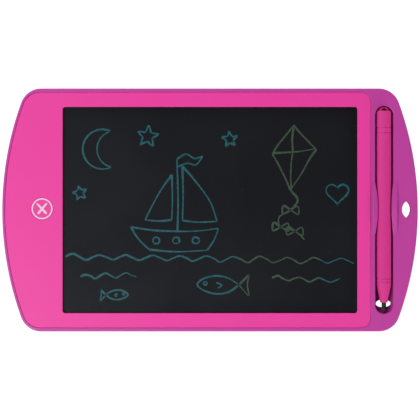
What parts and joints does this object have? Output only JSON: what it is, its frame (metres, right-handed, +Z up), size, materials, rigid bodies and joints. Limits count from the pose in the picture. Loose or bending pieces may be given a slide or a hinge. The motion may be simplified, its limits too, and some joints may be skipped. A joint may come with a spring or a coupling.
{
  "type": "lcd writing tablet",
  "caption": "Flat writing tablet with a bowed case, framed dark writing film, clearing button, rear battery door and lock slider, and a stylus held by springy clips in a side slot.",
  "frame": {"origin": "middle of the footprint, on the surface that the tablet lies on", "axes": "+X along the length towards the stylus slot, +Y across the width towards the stylus's cap, +Z up out of the writing film"},
  "size_m": [0.2936, 0.1716, 0.0119],
  "materials": {
    "purple_plastic": "satin moulded, fine texture",
    "pink_plastic": "satin moulded, fine texture",
    "stylus_pink": "smooth, half gloss",
    "nib_black": "smooth, worn satin",
    "writing_film": "dark film, soft sheen",
    "adhesive_tape": "dull foam tape",
    "backing_sheet": "dull sheet",
    "black_plastic": "dull moulded",
    "amber_film": "thin flexible circuit",
    "board_green": "lacquered board",
    "steel": "plated, half bright",
    "copper": "lacquered winding",
    "ceramic_tan": "fired, dull"
  },
  "bodies": {
    "case": {"back_shell": "purple_plastic", "front_bezel": "pink_plastic", "case_screw_1": "steel", "case_screw_2": "steel", "case_screw_3": "steel", "case_screw_4": "steel", "case_screw_5": "steel", "case_screw_6": "steel", "case_screw_7": "steel", "case_screw_8": "steel", "pen_clip_left": "purple_plastic", "pen_clip_right": "purple_plastic", "film_tape_frame": "adhesive_tape", "lcd_film": "writing_film", "backing_board": "backing_sheet", "film_contact_tail": "amber_film", "circuit_board": "board_green", "flex_connector": "black_plastic", "driver_chip": "black_plastic", "boost_coil": "copper", "capacitor_1": "ceramic_tan", "capacitor_2": "ceramic_tan", "board_screw_1": "steel", "board_screw_2": "steel", "switch_body": "black_plastic", "coin_cell": "steel", "battery_contact_negative": "steel", "battery_contact_positive": "steel", "lock_switch_body": "black_plastic"},
    "clearing_button": {"erase_button": "pink_plastic"},
    "plunger": {"switch_plunger": "black_plastic"},
    "stylus": {"stylus_nib": "nib_black", "stylus_cone": "stylus_pink", "stylus_ring": "stylus_pink", "stylus_barrel": "stylus_pink", "stylus_collar": "stylus_pink", "stylus_cap": "stylus_pink"},
    "lock_knob": {"lock_slider": "black_plastic"},
    "rear_door": {"battery_door": "purple_plastic", "battery_door_screw": "steel"}
  },
  "joints": [
    {"name": "erase_button_press", "type": "slide", "parent": "case", "child": "clearing_button", "axis": [0, 0, -1], "range_m": [0, 0.0005], "stiffness_N_per_m": 300, "springref_m": -0.002},
    {"name": "switch_plunger_travel", "type": "slide", "parent": "case", "child": "plunger", "axis": [0, 0, -1], "range_m": [0, 0.0005]},
    {"name": "stylus_lift", "type": "slide", "parent": "case", "child": "stylus", "axis": [0, 0, 1], "range_m": [0, 0.03], "deforming": ["pen_clip_left", "pen_clip_right"]},
    {"name": "lock_slide", "type": "slide", "parent": "case", "child": "lock_knob", "axis": [0, 1, 0], "range_m": [0, 0.002]},
    {"name": "battery_door_lift", "type": "slide", "parent": "case", "child": "rear_door", "axis": [0, 0, -1], "range_m": [0, 0.01]}
  ],
  "couplings": [
    {"joint": "switch_plunger_travel", "follows": "erase_button_press", "ratio": 1}
  ]
}
